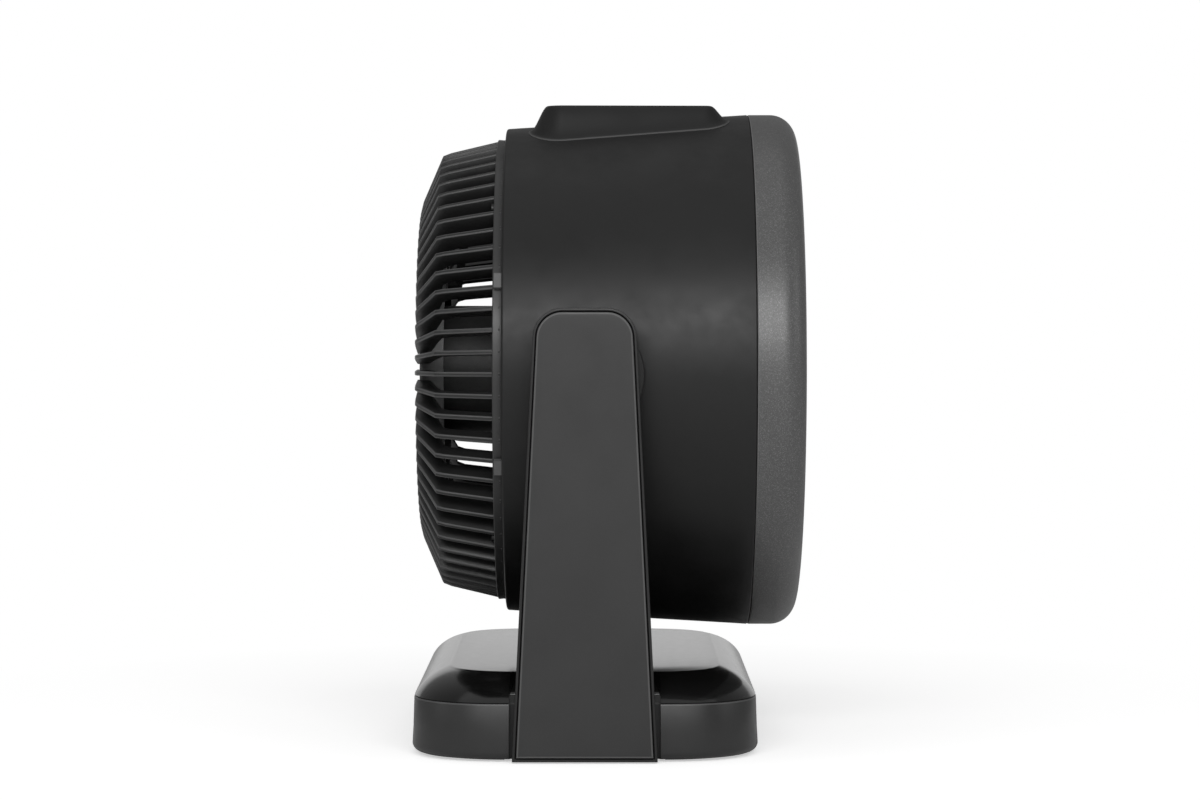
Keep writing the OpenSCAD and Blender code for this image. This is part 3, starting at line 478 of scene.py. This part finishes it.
def make_drum():
    b = Build()
    back = DRUM_BACK
    outline = [(BEZEL_R - 3, SEAM_F - 0.1), (BEZEL_R - 1.0, SEAM_F - 0.1)]
    outline += arc(drum_r(SEAM_F) - 0.8, SEAM_F - 0.9, 0.8, 90, 0, 5)
    outline += [(drum_r(f), f) for f in range(100, -50, -12)]
    outline += arc(DRUM_REAR_R - 1.6, back + 1.6, 1.6, 0, -90, 8)
    outline += [(CAGE_R + 1.2, back), (CAGE_R + 0.6, back + 0.8), (CAGE_R + 0.1, back + 0.8),
                (CAGE_R - 10, back + 0.05), (CAGE_R - 10, back + WALL),
                (DRUM_REAR_R - WALL - 1, back + WALL), (DRUM_REAR_R - WALL, back + WALL + 1),
                (BEZEL_R - 5.5, SEAM_F - 9), (BEZEL_R - 5.5, SEAM_F + 5), (BEZEL_R - 3, SEAM_F + 5)]
    b.revolve(outline, head_point, 256)
    face = ARM_IN - 2
    for side in (-1, 1):
        boss = [(BOSS_R - 12, 156), (BOSS_R - 4, 156), (BOSS_R, 160), (BOSS_R, face - 1.4)]
        boss += arc(BOSS_R - 1.4, face - 1.4, 1.4, 0, 90, 6)
        boss += [(9, face), (9, 156)]
        b.revolve(boss, on_tilt_axis(side), 96)
    piece("drum_shell", b, drum_black, "head", ["drum_housing"], 30)


# ---------------------------------------------------------------- head: rear grille
def rib_sides():
    """Outer and inner edge of a rib, as (radius, forward)."""
    back = DRUM_BACK
    outer = [(CAGE_R, back - 1), (CAGE_SHOULDER_R + 1.2, back - CAGE_SHOULDER + 4)]
    outer += [(CAGE_SHOULDER_R - 0.9, back - CAGE_SHOULDER - 1.5)]
    outer += [(CAGE_BACK_R + 4, CAGE_BACK + 1.9), (CAGE_BACK_R - 2.5, CAGE_BACK + 0.3),
              (CAGE_BACK_R - 14, CAGE_BACK), (DISH_R - 1, CAGE_BACK)]
    inner = [(CAGE_R - CAGE_RIB_D, back - 1), (CAGE_SHOULDER_R - CAGE_RIB_D + 2, back - CAGE_SHOULDER + 8),
             (CAGE_SHOULDER_R - CAGE_RIB_D - 2, back - CAGE_SHOULDER + 3),
             (CAGE_BACK_R - 2, CAGE_BACK + CAGE_RIB_D + 1), (CAGE_BACK_R - 8, CAGE_BACK + CAGE_RIB_D),
             (CAGE_BACK_R - 18, CAGE_BACK + CAGE_RIB_D - 1.5), (DISH_R - 1, CAGE_BACK + CAGE_RIB_D * 0.6)]
    return outer, inner


def make_rear_grille():
    """Ribs are lofted with a rounded outer edge, thinner towards the inside."""
    b = Build()
    outer, inner = rib_sides()
    section = []
    for (ro, fo), (ri, fi) in zip(outer, inner):
        half = CAGE_RIB_T / 2
        def at(depth, side):
            return (lerp(ro, ri, depth), side, lerp(fo, fi, depth))
        section.append([at(0.0, -half * 0.45), at(0.015, -half * 0.8), at(0.05, -half), at(1.0, -half * 0.72),
                        at(1.0, half * 0.72), at(0.05, half), at(0.015, half * 0.8), at(0.0, half * 0.45)])
    for i in range(CAGE_RIBS):
        a = 2 * math.pi * i / CAGE_RIBS
        c, s = math.cos(a), math.sin(a)
        rings = [[head_point(r * c - t * s, r * s + t * c, f) for r, t, f in ring] for ring in section]
        # painted highlight: the rounded front edges of each rib are painted lighter
        b.rings(rings, caps=True, painted_lights={0: 0.35, 1: 0.3, 5: 0.3, 6: 0.35})
    back = DRUM_BACK
    rim = [(CAGE_R - 9, back + 0.0)] + [(CAGE_R - 0.4, back)] + arc(CAGE_R - 0.8, back - 5.2, 0.8, 0, -90, 5)
    rim += [(CAGE_R - 9, back - 6)]
    # painted light: the whole rim band is painted a little lighter
    b.revolve(rim, head_point, 256, painted_lights={k: 0.09 for k in range(len(rim))})
    dish = [(CAP_HOLE_R, DISH_F + 0.5), (CAP_HOLE_R + 0.5, DISH_F)]
    dish += arc(DISH_R - 2, DISH_F + 2, 2, -90, 0, 8)
    dish += [(DISH_R, DISH_F + 16), (DISH_R - 3, DISH_F + 16), (DISH_R - 3, DISH_F + 3),
             (CAP_HOLE_R, DISH_F + 3)]
    # painted light: the dish's rounded corner and outer wall are painted lighter, lifting them out of shade
    b.revolve(dish, head_point, 160, painted_lights={k: 0.5 for k in range(2, 12)})
    piece("rear_cage", b, cage_black, "head", ["rear_grille"], 40)


# ---------------------------------------------------------------- head: front grille
INNER_RIBS, OUTER_RIBS, MID_RING_R, CAP_R, RIB_W = 44, 66, 90, 38, 2.2


def curved_rib(b, r0, r1, start, sweep, f0, f1, steps=14):
    """A rib that leans more as it goes outwards, with a rounded front."""
    rings = []
    for i in range(steps + 1):
        t = i / steps
        r = lerp(r0, r1, t)
        a = math.radians(start + sweep * t * t)
        turn = math.radians(2 * sweep * t) / max(r1 - r0, 1)
        lean = math.atan(turn * r)
        out = (math.cos(a + lean), math.sin(a + lean))
        side = (-out[1], out[0])
        mid = (r * math.cos(a), r * math.sin(a))
        ring = []
        for w, f in ((-0.36, f0), (-0.5, f0 + 0.8), (-0.5, f1 - 1.0), (-0.3, f1 - 0.25), (0, f1),
                     (0.3, f1 - 0.25), (0.5, f1 - 1.0), (0.5, f0 + 0.8), (0.36, f0)):
            ring.append(head_point(mid[0] + side[0] * w * RIB_W, mid[1] + side[1] * w * RIB_W, f))
        rings.append(ring)
    b.rings(rings, caps=True)


def hoop(b, r, half, f0, f1):
    outline = [(r - half, f0), (r - half, f1 - 0.8), (r - half * 0.6, f1), (r + half * 0.6, f1),
               (r + half, f1 - 0.8), (r + half, f0)]
    b.revolve(outline, head_point, 200)


def make_front_grille():
    b = Build()
    f1, f0 = GRILLE_F
    for i in range(INNER_RIBS):
        curved_rib(b, CAP_R - 2, MID_RING_R, 360 * i / INNER_RIBS, 24, f0, f1)
    for i in range(OUTER_RIBS):
        curved_rib(b, MID_RING_R, MOUTH_R - 2, 24 + 360 * i / OUTER_RIBS, 26, f0, f1)
    hoop(b, MID_RING_R, RIB_W / 2, f0, f1)
    hoop(b, MOUTH_R - 2.1, 1.7, f0, f1)
    plate = [(0.01, f0), (CAP_R - 1, f0), (CAP_R - 1, f1 - 2), (0.01, f1 - 2)]
    b.revolve(plate, head_point, 96)
    piece("front_guard", b, cage_black, "head", ["front_grille"], 40)
    c = Build()
    base = f1 - 2
    cap = [(0.01, base), (CAP_R - 1.2, base), (CAP_R - 1.0, base + 0.4)]
    cap += arc(CAP_R - 4, base + 4.2, 3, -10, 80, 8)
    cap += [(CAP_R - 6, base + 7.1), (CAP_R - 7, base + 6.6), (CAP_R - 8, base + 7.3)]
    cap += [(r, base + 8.9 - 1.5 * (r / (CAP_R - 8)) ** 2) for r in (26, 20, 13, 6, 0.01)]
    c.revolve(cap, head_point, 128)
    piece("guard_cap", c, panel_gloss, "head", ["front_cap"], 30)


# ---------------------------------------------------------------- head: impeller
BLADES, BLADE_T = 5, 3.0
BLADE_TIP_R = 143
BLADE_MID_F = HUB_F[0] - (HUB_F[0] - HUB_F[1]) * 0.55


def blade_point(s, c, side):
    """A point on a blade: s from root to tip, c along the chord, side of the section."""
    r = lerp(HUB_R - 0.6, BLADE_TIP_R, s)
    pitch = math.radians(48 - 24 * s)
    chord = 58 + 34 * s
    bow = 1 - (2 * c - 1) ** 2
    u = chord * (c - 0.5)
    v = 0.1 * chord * bow + side * BLADE_T * (0.35 + 0.65 * bow) / 2
    a = math.radians(20 * s * s) + (u * math.cos(pitch) + v * math.sin(pitch)) / r
    f = BLADE_MID_F - u * math.sin(pitch) + v * math.cos(pitch)
    return r, a, f


def make_impeller():
    b = Build()
    for i in range(BLADES):
        rings = []
        for k in range(21):
            s = k / 20
            row = [(j / 20, 1) for j in range(21)] + [(j / 20, -1) for j in range(20, -1, -1)]
            ring = []
            for c, side in row:
                # the tip's corners are rounded off along the chord
                reach = 1 - 0.1 * max(0.0, s - 0.7) / 0.3 * abs(2 * c - 1) ** 3
                r, a, f = blade_point(s * reach, c, side)
                a += 2 * math.pi * i / BLADES
                ring.append(head_point(r * math.cos(a), r * math.sin(a), f))
            rings.append(ring)
        b.rings(rings, caps=True)
    piece("fan_blades", b, blade_black, "rotor", ["impeller_blades"], 50)
    h = Build()
    f1, f0 = HUB_F
    hub = [(4, f1 - 30), (10, f1 - 30), (10, f1 - 3), (HUB_R - 3, f1 - 3), (HUB_R - 3, f0), (HUB_R, f0)]
    hub += arc(HUB_R - 5, f1 - 5, 5, 0, 90, 10)
    hub += [(20, f1), (19, f1 - 0.8), (13, f1 - 0.8), (12, f1), (4, f1)]
    h.revolve(hub, head_point, 128)
    piece("fan_hub", h, blade_black, "rotor", ["impeller_hub"], 35)
    nut = Build()
    f0, f1 = f1, forward(span("impeller_nut", 1)[0])
    dome = [(4, f0), (11, f0), (11, f0 + 1)]
    dome += arc(8, f1 - 3, 3, 0, 90, 6)
    dome += [(0.01, f1), (0.01, f1 - 2), (4, f1 - 2)]
    nut.revolve(dome, head_point, 64)
    for i in range(12):
        a = 2 * math.pi * i / 12
        c, s = math.cos(a), math.sin(a)
        grip = [(10.7 * c - t * s, 10.7 * s + t * c) for t in (-0.7, 0.7)]
        grip += [(11.6 * c - t * s, 11.6 * s + t * c) for t in (0.5, -0.5)]
        nut.extrude(grip, head_point, f0 + 0.3, f1 - 4)
    piece("hub_nut", nut, blade_black, "rotor", ["impeller_nut"], 40)


# ---------------------------------------------------------------- head: control pod
POD_HALF_REAR, POD_HALF_FRONT = 65.8, 61.8
POD_LEAN = 12


def pod_plan(inset, n=14):
    """The pod's outline from above, as (across, forward), pulled in by an inset."""
    front, rear = POD_F
    corners = [(POD_HALF_FRONT, front, 18, 0), (-POD_HALF_FRONT, front, 18, 90),
               (-POD_HALF_REAR, rear, 24, 180), (POD_HALF_REAR, rear, 24, 270)]
    points = []
    for x, f, r, a0 in corners:
        cx = x - math.copysign(r, x)
        cf = f - r if f > 0 else f + r
        points += arc(cx, cf, max(r - inset, 1.5), a0, a0 + 90, n)
    return points


def make_pod():
    b = Build()
    rings = []
    steps = 16
    lip = 0.9
    foot = pod_plan(0)
    def surface(x, f):
        return math.sqrt(max(drum_r(f) ** 2 - x * x, 0))
    rings.append([head_point(x, surface(x, f) - 1.5, f) for x, f in pod_plan(0.4)])
    rings.append([head_point(x, surface(x, f) + 0.2, f) for x, f in foot])
    for k in range(steps + 1):
        q = k / steps
        inset = 0.5 + (POD_LEAN + 0.5) * q
        rise = smooth(q ** 1.1)
        ring = []
        for x, f in pod_plan(inset):
            low = surface(x, f) + lip
            ring.append(head_point(x, lerp(low, POD_TOP, rise), f))
        rings.append(ring)
    top = POD_TOP
    for inset, drop in ((POD_LEAN + 2.2, 0.0), (POD_LEAN + 2.6, 0.15), (POD_LEAN + 2.9, 0.8)):
        rings.append([head_point(x, top - drop, f) for x, f in pod_plan(inset)])
    # painted highlight: the band along the pod's lower edge, where it meets the drum, is painted lighter
    b.rings(rings, levels={1: 0.4, 2: 0.12})
    # the recess that the panel lies in, and its floor
    centre = forward((span("control_panel", 1)[0] + span("control_panel", 1)[1]) / 2)
    half_f = (span("control_panel", 1)[1] - span("control_panel", 1)[0]) / 2
    half_x = span("control_panel", 0)[1]
    rim = rings[-1]
    edge = []
    for p in rim:
        x = p[0] / MM
        f = forward(p[1] / MM)
        x = max(-half_x - 0.3, min(half_x + 0.3, x))
        f = max(centre - half_f - 0.3, min(centre + half_f + 0.3, f))
        edge.append((x, f))
    start = len(b.verts) - len(rim)
    m = len(rim)
    b.verts += [head_point(x, top - 0.8, f) for x, f in edge]
    b.verts += [head_point(x, top - 2.6, f) for x, f in edge]
    for level in range(2):
        for k in range(m):
            l = (k + 1) % m
            a = start + level * m
            b.faces.append([a + k, a + l, a + m + l, a + m + k])
    b.faces.append([start + 2 * m + k for k in range(m)])
    b.painted_lights += [0.0] * (len(b.faces) - len(b.painted_lights))
    piece("pod_shell", b, drum_black, "head", ["control_pod"], 40)


def make_buttons():
    """Dished round keys with a raised mark each."""
    for body in ("power", "speed", "timer", "mode"):
        node = body + "_button"
        lo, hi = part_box(node)
        cx, cy = (lo.x + hi.x) / 2 / MM, (lo.y + hi.y) / 2 / MM
        top, low = hi.z / MM, lo.z / MM
        def place(x, y, z):
            return ((cx + x) * MM, (cy + y) * MM, z * MM)
        b = Build()
        outline = [(0.01, low), (7, low), (7, top - 4.8), (8.2, top - 4.8), (8.2, top - 3.6), (7, top - 3.6)]
        outline += arc(6.2, top - 0.8, 0.8, 0, 90, 6)
        outline += [(5.2, top - 0.05), (3.5, top - 0.3), (1.5, top - 0.42), (0.01, top - 0.45)]
        b.revolve(outline, place, 64)
        marks = {"power": 1, "speed": 3, "timer": 4, "mode": 2}[body]
        for k in range(marks):
            x = (k - (marks - 1) / 2) * 1.7
            dot = [(0.01, top - 0.5), (0.5, top - 0.5), (0.45, top - 0.22), (0.01, top - 0.15)]
            b.revolve(dot, lambda u, v, z: place(x + u, v, z), 20)
        piece(body + "_key", b, key_grey, body, [node], 35)


# ---------------------------------------------------------------- stand: arms
def arm_outline(inset, n=16):
    """An arm's outline as (back, up)."""
    lean = (ARM_FOOT_W - ARM_TOP_W) / 2 / AXIS_Z
    top = ARM_TOP - inset
    r = ARM_ROUND - inset
    foot = ARM_FOOT_W / 2 - inset
    half = foot - lean * (top - ARM_ROUND)
    low = ARM_Z + inset
    tip = math.degrees(math.atan(lean))
    points = [(-foot + lean * low, low), (foot - lean * low, low)]
    points += arc(half - r, top - r, r, tip, 90, n)
    points += arc(-half + r, top - r, r, 90, 180 - tip, n)
    return points


def make_arms():
    for side, name in ((-1, "left"), (1, "right")):
        place = on_side(side)
        b = Build()
        levels = [(0.9, ARM_IN), (0.25, ARM_IN + 0.25), (0.0, ARM_IN + 0.9), (0.0, ARM_FACE - 0.7),
                  (0.2, ARM_FACE - 0.2), (0.6, ARM_FACE), (ARM_RIM - 0.5, ARM_FACE),
                  (ARM_RIM, ARM_FACE - 0.5), (ARM_RIM, ARM_IN + WALL)]
        b.rings([[place(u, v, d) for u, v in arm_outline(i)] for i, d in levels], caps=True)
        piece("arm_shell_" + name, b, arm_black, "stand", ["arm_" + name], 35)
        c = Build()
        i0 = COVER_INSET
        levels = [(i0 + 1.8, ARM_IN + WALL), (i0, ARM_IN + WALL), (i0, ARM_OUT - 1.5)]
        for a in (15, 30, 45, 60, 75, 90):
            turn = math.radians(a)
            levels.append((i0 + 1.3 - 1.3 * math.cos(turn), ARM_OUT - 1.5 + 1.35 * math.sin(turn)))
        levels += [(i0 + 2.2, ARM_OUT - 0.1), (i0 + 5, ARM_OUT)]
        # painted highlight: the cover's rounded front edge is painted lighter
        c.rings([[place(u, v, d) for u, v in arm_outline(i)] for i, d in levels], caps=True,
                levels={3: 0.25, 4: 0.45, 5: 0.5, 6: 0.45, 7: 0.25})
        piece("cover_" + name, c, cover_black, "stand", ["arm_cover_" + name],
              40)


# ---------------------------------------------------------------- stand: base
def base_outline(half_x, half_y, corner, n=18):
    """The base's outline with a pocket for an arm in each side."""
    points = []
    for sx, sy, a0 in ((1, 1, 0), (-1, 1, 90), (-1, -1, 180), (1, -1, 270)):
        quarter = []
        for i in range(n + 1):
            a = math.radians(a0 + 90 * i / n)
            ca, sa = math.cos(a), math.sin(a)
            # a squarer curve than a circle, as moulded bases have
            e = 2 / 2.35
            px = math.copysign(abs(ca) ** e, ca) * corner
            py = math.copysign(abs(sa) ** e, sa) * corner
            quarter.append((sx * (half_x - corner) + px, sy * (half_y - corner) + py))
        points.append(quarter)
    x_in = min(POCKET_X, half_x)
    half = POCKET_HALF
    top_right, top_left, low_left, low_right = points
    out = [(x_in, -half), (x_in, half), (half_x, half)] + top_right + top_left
    out += [(-half_x, half), (-x_in, half), (-x_in, -half), (-half_x, -half)] + low_left + low_right
    out += [(half_x, -half)]
    return out


def make_base():
    place = stand_point
    b = Build()
    foot_round = 5.0
    levels = [(foot_round + 2.0, BASE_Z), (foot_round, BASE_Z)]
    for a in (75, 60, 45, 30, 15, 0):
        turn = math.radians(a)
        levels.append((foot_round * (1 - math.cos(turn)), BASE_Z + foot_round * (1 - math.sin(turn))))
    levels += [(0.6, BASE_Z + 16), (1.2, SEAM_Z - 1.2), (1.5, SEAM_Z - 0.5)]
    levels += [(2.2, SEAM_Z - 0.2), (3.2, SEAM_Z - 0.2)]
    rings = [[place(u, v, z) for u, v in base_outline(BASE_X - i, BASE_Y - i, BASE_CORNER - i * 0.5)]
             for i, z in levels]
    top = len(levels)
    # painted highlight: the wall's top chamfer below the seam is painted lighter
    b.rings(rings, caps=True, levels={top - 4: 0.3, top - 3: 0.35})
    piece("base_wall", b, base_black, "stand", ["base_shell"], 35)
    c = Build()
    rings = [[place(u, v, SEAM_Z - 0.15) for u, v in base_outline(BASE_X - 4, BASE_Y - 4, BASE_CORNER - 2)]]
    steps = 18
    for k in range(steps + 1):
        t = k / steps
        a = math.radians(90 * t)
        bow = 0.5
        inward = lerp(t, 1 - math.cos(a), bow)
        upward = lerp(t, math.sin(a), bow)
        rings.append([place(u, v, lerp(SEAM_Z + 0.3, BASE_TOP - 0.35, upward)) for u, v in base_outline(
            lerp(BASE_X - 1.6, TOP_X + 0.8, inward), lerp(BASE_Y - 1.6, TOP_Y + 0.8, inward),
            lerp(BASE_CORNER, TOP_CORNER, inward))])
    for out, drop in ((0.2, 0.08), (-0.8, 0.0)):
        rim = base_outline(TOP_X + out, TOP_Y + out, TOP_CORNER)
        rings.append([place(u, v, BASE_TOP - drop) for u, v in rim])
    c.rings(rings, caps=True)
    piece("base_cover", c, base_gloss, "stand", ["base_top"], 60)


make_bezel()
make_drum()
make_rear_grille()
make_front_grille()
make_impeller()
make_pod()
make_buttons()
make_arms()
make_base()


# ---------------------------------------------------------------- studio
def make_floor():
    mesh = bpy.data.meshes.new("floor")
    size = 6.0
    corners = [(-size, -size, 0), (size, -size, 0), (size, size, 0), (-size, size, 0)]
    mesh.from_pydata(corners, [], [(0, 1, 2, 3)])
    floor = bpy.data.objects.new("floor", mesh)
    bpy.context.scene.collection.objects.link(floor)
    n = Nodes("studio floor")
    n.bsdf.inputs["Base Color"].default_value = (0.86, 0.86, 0.86, 1)
    n.bsdf.inputs["Roughness"].default_value = 0.9
    n.bsdf.inputs["Specular IOR Level"].default_value = 0.1
    lamp = n.new("ShaderNodeEmission", Strength=0.52)
    white = n.new("ShaderNodeEmission", Strength=1.0)
    path = n.new("ShaderNodeLightPath")
    add = n.new("ShaderNodeAddShader")
    fade = n.new("ShaderNodeMixShader")
    pick = n.new("ShaderNodeMixShader")
    out = n.tree.nodes["Material Output"]
    distance = n.new("ShaderNodeVectorMath", operation="LENGTH")
    n.link(n.coords, distance.inputs[0])
    n.link(n.bsdf.outputs["BSDF"], add.inputs[0])
    n.link(lamp.outputs["Emission"], add.inputs[1])
    n.link(n.spread(distance.outputs["Value"], 0.0, 1.0, 0.28, 0.6), fade.inputs[0])
    n.link(add.outputs["Shader"], fade.inputs[1])
    n.link(white.outputs["Emission"], fade.inputs[2])
    n.link(path.outputs["Is Camera Ray"], pick.inputs[0])
    n.link(n.bsdf.outputs["BSDF"], pick.inputs[1])
    n.link(fade.outputs["Shader"], pick.inputs[2])
    n.link(pick.outputs["Shader"], out.inputs["Surface"])
    mesh.materials.append(n.material)


def make_world():
    world = bpy.data.worlds.new("studio")
    bpy.context.scene.world = world
    world.use_nodes = True
    tree = world.node_tree
    tree.nodes.clear()
    out = tree.nodes.new("ShaderNodeOutputWorld")
    path = tree.nodes.new("ShaderNodeLightPath")
    pick = tree.nodes.new("ShaderNodeMixShader")
    dim = tree.nodes.new("ShaderNodeBackground")
    dim.inputs["Color"].default_value = (1, 1, 1, 1)
    dim.inputs["Strength"].default_value = 0.25
    white = tree.nodes.new("ShaderNodeBackground")
    white.inputs["Color"].default_value = (1, 1, 1, 1)
    white.inputs["Strength"].default_value = 1.0
    tree.links.new(path.outputs["Is Camera Ray"], pick.inputs[0])
    tree.links.new(dim.outputs[0], pick.inputs[1])
    tree.links.new(white.outputs[0], pick.inputs[2])
    tree.links.new(pick.outputs[0], out.inputs["Surface"])


def softbox(name, place, target, size, watts):
    data = bpy.data.lights.new(name, "AREA")
    data.shape = "RECTANGLE"
    data.size, data.size_y = size
    data.energy = watts
    lamp = bpy.data.objects.new(name, data)
    bpy.context.scene.collection.objects.link(lamp)
    lamp.location = place
    lamp.rotation_mode = "QUATERNION"
    lamp.rotation_quaternion = (Vector(target) - Vector(place)).to_track_quat("-Z", "Y")


def make_camera():
    """Side on, a little above the object, far enough for a long lens."""
    data = bpy.data.cameras.new("camera")
    data.sensor_width = 36.0
    data.lens = 103.5
    cam = bpy.data.objects.new("camera", data)
    bpy.context.scene.collection.objects.link(cam)
    cam.location = (-2.38, FAN.y - 0.0097, 0.295)
    down = math.radians(1.66)
    cam.rotation_mode = "QUATERNION"
    cam.rotation_quaternion = Vector((math.cos(down), 0, -math.sin(down))).to_track_quat("-Z", "Y")
    bpy.context.scene.camera = cam


make_floor()
make_world()
softbox("key", (-2.3, 0.0, 1.25), (0, 0, 0.25), (2.6, 0.8), 38)
softbox("top", (-0.2, 0.1, 2.4), (0, 0, 0.2), (2.4, 2.4), 7)
softbox("front strip", (-0.5, -1.9, 0.9), (0, 0, 0.25), (0.8, 1.0), 2.5)
softbox("rear strip", (-0.5, 2.0, 0.9), (0, 0, 0.25), (0.8, 1.0), 2.5)
softbox("backdrop", (2.4, 0, 0.42), (0, 0, 0.25), (3.2, 0.84), 4.3)
make_camera()
bpy.context.scene.view_settings.view_transform = "Standard"
